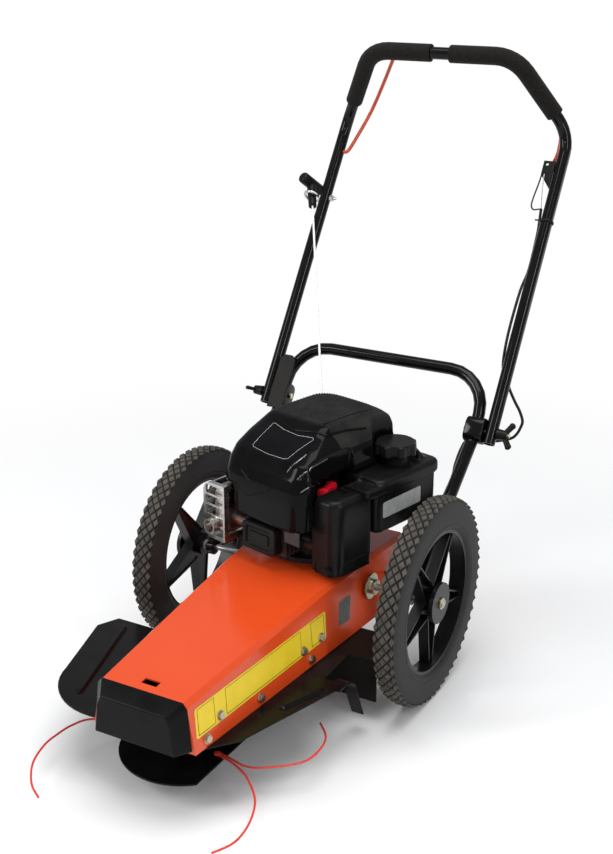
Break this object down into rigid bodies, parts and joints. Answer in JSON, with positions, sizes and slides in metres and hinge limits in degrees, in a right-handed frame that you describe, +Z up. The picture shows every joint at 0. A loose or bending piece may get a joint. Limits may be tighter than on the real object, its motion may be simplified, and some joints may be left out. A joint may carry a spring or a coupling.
{
  "type": "wheeled string trimmer",
  "caption": "Walk-behind string trimmer on two large spoked wheels, with an orange belt housing, a petrol engine, a folding loop handle, a control bail and red cutting lines",
  "frame": {"origin": "on the ground, on the machine's centre line, halfway between the nose's front and the bail's rear", "axes": "+X to the right of a person who walks behind it, +Y towards that person, +Z up; the cutting end is at -Y"},
  "size_m": [0.6484, 1.3737, 1.1692],
  "materials": {
    "orange_paint": "gloss orange paint on pressed steel",
    "black_paint": "gloss black paint on steel tube",
    "gloss_black": "gloss black moulding",
    "satin_black": "satin black moulding",
    "black_plate": "satin black paint on sheet steel",
    "tyre": "dark grey rubber",
    "rubber": "black rubber",
    "foam": "soft brown-black foam",
    "zinc": "yellow zinc plating",
    "steel": "bare bright steel",
    "cast_metal": "dark sand-cast aluminium",
    "line_red": "red nylon line",
    "knob_red": "gloss red moulding",
    "rope_white": "braided white rope",
    "bush_white": "white nylon",
    "filter_paper": "pleated paper"
  },
  "bodies": {
    "chassis": {"belt_housing": "orange_paint", "nose_bumper": "black_plate", "guard_plate": "black_plate", "rear_flap": "rubber", "housing_bolts": "zinc", "axle": "steel", "axle_collars": "zinc", "wheel_bushes": "bush_white", "wheel_retainers": "zinc", "lower_handle": "black_paint", "left_stay": "black_plate", "clamp_blocks": "satin_black", "clamp_bolts": "zinc", "engine_block": "cast_metal", "engine_bolts": "zinc", "hood": "gloss_black", "hood_grille": "satin_black", "fuel_tank": "gloss_black", "filter_base": "satin_black", "filter_element": "filter_paper", "carburettor": "cast_metal", "muffler": "steel", "muffler_guard": "steel", "spark_plug": "steel", "rocker_cover": "black_plate", "dipstick_tube": "satin_black", "spindle_housing": "cast_metal", "spindle_bearings": "steel", "drive_belt": "rubber", "idler_pivot": "zinc", "lower_cables": "rubber", "starter_rope": "rope_white"},
    "crank": {"crankshaft": "steel", "flywheel": "cast_metal", "drive_pulley": "steel"},
    "rope_drum": {"rope_drum": "satin_black"},
    "cutter_head": {"spindle": "steel", "driven_pulley": "steel", "line_plate": "black_plate", "right_line": "line_red", "left_line": "line_red"},
    "ground_ball": {"ground_ball": "satin_black"},
    "idler_arm": {"idler_arm": "zinc"},
    "idler_pulley": {"idler_pulley": "satin_black"},
    "left_wheel": {"left_tyre": "tyre", "left_rim": "satin_black"},
    "right_wheel": {"right_tyre": "tyre", "right_rim": "satin_black"},
    "upper_handle": {"upper_handle": "black_paint", "handle_grips": "foam", "rope_guide": "zinc", "cable_bracket": "black_plate", "upper_cables": "rubber"},
    "bail": {"bail": "orange_paint"},
    "left_knob": {"left_knob": "gloss_black"},
    "right_knob": {"right_knob": "gloss_black"},
    "starter_grip": {"starter_grip": "gloss_black"},
    "fuel_cap": {"fuel_cap": "gloss_black"},
    "dipstick": {"dipstick": "knob_red"},
    "filter_cover": {"filter_cover": "satin_black"}
  },
  "joints": [
    {"name": "left_wheel_spin", "type": "hinge", "parent": "chassis", "child": "left_wheel", "pos_m": [-0.263, -0.05755, 0.203], "axis": [1, 0, 0], "continuous": true},
    {"name": "right_wheel_spin", "type": "hinge", "parent": "chassis", "child": "right_wheel", "pos_m": [0.263, -0.05755, 0.203], "axis": [1, 0, 0], "continuous": true},
    {"name": "crank_spin", "type": "hinge", "parent": "chassis", "child": "crank", "pos_m": [0, -0.02755, 0.3], "axis": [0, 0, 1], "continuous": true},
    {"name": "cutter_spin", "type": "hinge", "parent": "chassis", "child": "cutter_head", "pos_m": [0, -0.49455, 0.1], "axis": [0, 0, 1], "continuous": true},
    {"name": "ball_spin", "type": "hinge", "parent": "cutter_head", "child": "ground_ball", "pos_m": [0, -0.49455, 0.02], "axis": [0, 0, 1], "continuous": true},
    {"name": "idler_swing", "type": "hinge", "parent": "chassis", "child": "idler_arm", "pos_m": [0.088, -0.11755, 0.19], "axis": [0, 0, -1], "range_deg": [0, 8]},
    {"name": "idler_pulley_spin", "type": "hinge", "parent": "idler_arm", "child": "idler_pulley", "pos_m": [0.08102, -0.2173, 0.178], "axis": [0, 0, 1], "continuous": true},
    {"name": "handle_fold", "type": "hinge", "parent": "chassis", "child": "upper_handle", "pos_m": [0, 0.23045, 0.446], "axis": [1, 0, 0], "range_deg": [0, 118], "deforming": ["upper_cables", "lower_cables", "starter_rope"]},
    {"name": "bail_squeeze", "type": "hinge", "parent": "upper_handle", "child": "bail", "pos_m": [0, 0.54755, 0.92326], "axis": [1, 0, 0], "range_deg": [0, 14], "stiffness_Nm_per_rad": 8, "springref_deg": -14.32},
    {"name": "left_knob_turn", "type": "hinge", "parent": "chassis", "child": "left_knob", "pos_m": [-0.285, 0.23045, 0.446], "axis": [1, 0, 0], "continuous": true},
    {"name": "right_knob_turn", "type": "hinge", "parent": "chassis", "child": "right_knob", "pos_m": [0.285, 0.23045, 0.446], "axis": [1, 0, 0], "continuous": true},
    {"name": "starter_pull", "type": "slide", "parent": "upper_handle", "child": "starter_grip", "axis": [-0.4265, 0.6915, 0.583], "range_m": [0, 0.5], "stiffness_N_per_m": 30, "springref_m": -0.3, "deforming": ["starter_rope"]},
    {"name": "drum_spin", "type": "hinge", "parent": "chassis", "child": "rope_drum", "pos_m": [0, -0.02755, 0.475], "axis": [0, 0, 1], "range_deg": [0, 945.9]},
    {"name": "fuel_cap_turn", "type": "hinge", "parent": "chassis", "child": "fuel_cap", "pos_m": [0.1399, 0.03754, 0.44], "axis": [0, 0, 1], "range_deg": [0, 90]},
    {"name": "dipstick_turn", "type": "hinge", "parent": "chassis", "child": "dipstick", "pos_m": [0.06747, -0.10415, 0.4], "axis": [0, 0, -1], "range_deg": [0, 40]},
    {"name": "filter_cover_pull", "type": "slide", "parent": "chassis", "child": "filter_cover", "axis": [0.9703, -0.2419, 0], "range_m": [0, 0.06]}
  ],
  "couplings": [
    {"joint": "cutter_spin", "follows": "crank_spin", "ratio": 0.64},
    {"joint": "idler_swing", "follows": "bail_squeeze", "ratio": 0.57143},
    {"joint": "drum_spin", "follows": "starter_pull", "rad_per_m": 33}
  ]
}
